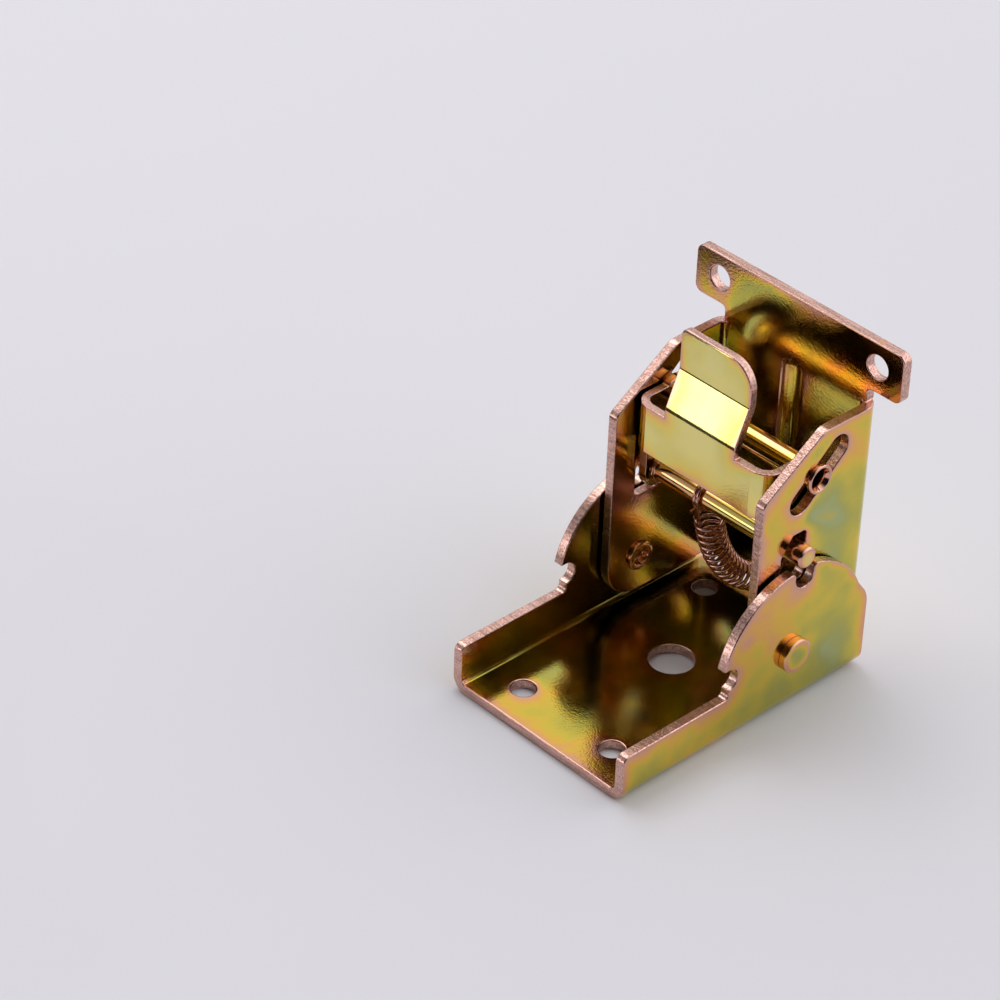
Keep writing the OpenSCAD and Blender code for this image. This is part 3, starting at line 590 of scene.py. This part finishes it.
wire_r = 0.325 * MM
sheet = 1.8 * MM
back_y = 54.5 * MM
slit_seat = Vector((0, back_y - sheet / 2, 8 * MM - wire_r - 0.06 * MM))
pin_seat = Vector((-2.4 * MM, pin_centre.y, pin_centre.z))
bow = Vector((-1.68 * MM, pin_centre.y + 1.4 * MM, 9 * MM))
down = bow - pin_seat
line_end = (slit_seat - bow).normalized()
ends = [slit_seat - line_end * 3.2 * MM, slit_seat + Vector((0, -1.6, 0.3)) * MM, slit_seat,
        slit_seat + Vector((0, 1.3, -0.3)) * MM, slit_seat + Vector((0, 1.8, -1.3)) * MM]
end_points = bpy.data.meshes.new("end_points")
end_points.from_pydata(ends, [], [])
wire_zinc = zinc("wire_zinc", 0.3, 0.4, 0.16, 0.4, 0.002, shift=(0.9, 0.1, 0.3), paleness=0.65,
                 pale_tone=(0.93, 0.82, 0.80, 1.0))
spring_mesh = run_tree("return_spring_wire", wire_tree(), {
    "Pin Seat": pin_seat, "Bow": bow, "Slit Seat": slit_seat, "Wire Radius": wire_r,
    "Coil Radius": 2.175 * MM, "Hook Radius": 2.305 * MM, "Hook Pitch": 0.689 * MM,
    "Leave Angle": math.atan2(down.z, down.y) - math.pi / 2, "Tip": 2.6 * MM, "Coil Drop": 3.8 * MM,
    "Slit Leg": 5 * MM, "Coil Turns": 15, "Hook Steps": 42, "Turn Steps": 24, "Finish": wire_zinc},
    start=end_points)
return_spring = new_piece("return_spring_wire", spring_mesh, wire_zinc)
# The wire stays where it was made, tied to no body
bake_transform(return_spring)
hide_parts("return_spring")

# Pale paper sweep that the bracket stands on.
floor_mesh = bpy.data.meshes.new("floor")
floor_mesh.from_pydata([(-1.2, -1.2, 0), (1.2, -1.2, 0), (1.2, 1.2, 0), (-1.2, 1.2, 0)], [], [(0, 1, 2, 3)])
paper = bpy.data.materials.new("paper")
paper.use_nodes = True
sheet_of_paper = paper.node_tree.nodes["Principled BSDF"]
sheet_of_paper.inputs["Roughness"].default_value = 0.85
sheet_of_paper.inputs["Specular IOR Level"].default_value = 0.2
mottle = put(paper.node_tree, "ShaderNodeTexNoise", {
    "Vector": put(paper.node_tree, "ShaderNodeTexCoord").outputs["Object"], "Scale": 9.0})
tone = put(paper.node_tree, "ShaderNodeMix", {"Factor": mottle.outputs["Fac"]}, data_type="RGBA")
tone.inputs[6].default_value = (0.775, 0.765, 0.805, 1)
tone.inputs[7].default_value = (0.795, 0.780, 0.820, 1)
paper.node_tree.links.new(tone.outputs[2], sheet_of_paper.inputs["Base Color"])
floor = new_piece("floor", floor_mesh, paper)

# Studio: a pale tent all round, with a dark opening at the front right and a lit patch at the back
# right. Three soft boxes stand at the left: high at the back, over the bracket, and low at the front.
world = bpy.data.worlds.new("studio")
scene.world = world
world.use_nodes = True
sky = world.node_tree
opening, lit_patch = Vector((0.537, -0.576, 0.616)), Vector((0.55, 0.55, 0.63))
direction = put(sky, "ShaderNodeTexCoord").outputs["Generated"]
facing = put(sky, "ShaderNodeVectorMath", {0: direction, 1: opening}, operation="DOT_PRODUCT")
dark = put(sky, "ShaderNodeMapRange", {
    "Value": facing.outputs["Value"], "From Min": math.cos(math.radians(78)),
    "From Max": math.cos(math.radians(34)), "To Min": 0.56, "To Max": 0.01},
    interpolation_type="SMOOTHSTEP")
sky.nodes["Background"].inputs[0].default_value = (0.97, 0.97, 1.0, 1)
# The lit patch fills the shadow
lit = put(sky, "ShaderNodeVectorMath", {0: direction, 1: lit_patch}, operation="DOT_PRODUCT")
glow = put(sky, "ShaderNodeMapRange", {
    "Value": lit.outputs["Value"], "From Min": math.cos(math.radians(62)),
    "From Max": math.cos(math.radians(10)), "To Min": 0.0, "To Max": 1.1}, interpolation_type="SMOOTHSTEP")
sky.links.new(sums(sky, "ADD", dark.outputs[0], glow.outputs[0]), sky.nodes["Background"].inputs[1])


def soft_box(name, place, aim, size, brightness, colour):
    """A rectangular lamp of a given brightness, where 1 is the white of a lit sheet of paper."""
    lamp = bpy.data.lights.new(name, "AREA")
    lamp.shape = "RECTANGLE"
    lamp.size, lamp.size_y = size
    lamp.energy = brightness * math.pi * size[0] * size[1]
    lamp.color = colour
    held = bpy.data.objects.new(name, lamp)
    scene.collection.objects.link(held)
    held.location = place
    held.visible_camera = False
    held.rotation_euler = (Vector(aim) - Vector(place)).to_track_quat("-Z", "Y").to_euler()


soft_box("high_box", (-0.66, 0.72, 0.78), (0, 0.03, 0), (1.5, 1.0), 0.35, (1, 0.99, 0.98))
soft_box("top_box", (-0.50, 0.10, 1.02), (0, 0.03, 0), (0.8, 0.8), 2.0, (1, 0.99, 0.98))
soft_box("low_box", (-0.46, -0.60, 0.10), (0, 0.03, 0.05), (0.5, 0.16), 2.1, (1, 0.97, 0.97))

# A dark card on the table at the front left, which only the bends and the pin mirror. It is neither
# seen itself nor casts a shadow on the paper under it.
card_mesh = bpy.data.meshes.new("dark_card")
near_r, far_r = 0.078, 0.62
sector = [math.radians(a) for a in range(-178, -95, 4)]
card_points = [(r * math.sin(a), r * math.cos(a), 0.4 * MM) for a in sector for r in (near_r, far_r)]
card_mesh.from_pydata(card_points, [], [(2 * i, 2 * i + 1, 2 * i + 3, 2 * i + 2)
                                        for i in range(len(sector) - 1)])
black = bpy.data.materials.new("black_card")
black.use_nodes = True
black.node_tree.nodes["Principled BSDF"].inputs["Base Color"].default_value = (0.01, 0.01, 0.01, 1)
black.node_tree.nodes["Principled BSDF"].inputs["Roughness"].default_value = 1.0
dark_card = new_piece("dark_card", card_mesh, black)
for sort in ("camera", "diffuse", "transmission", "shadow"):
    setattr(dark_card, "visible_" + sort, False)

cam = bpy.data.cameras.new("camera")
cam.sensor_width = 36
cam.lens = 135.326
cam.clip_start, cam.clip_end = 0.01, 20
camera = bpy.data.objects.new("camera", cam)
scene.collection.objects.link(camera)
camera.location = (0.319475, -0.319349, 0.367719)
camera.rotation_euler = (0.951851, -0.030487, 0.822530)
scene.camera = camera
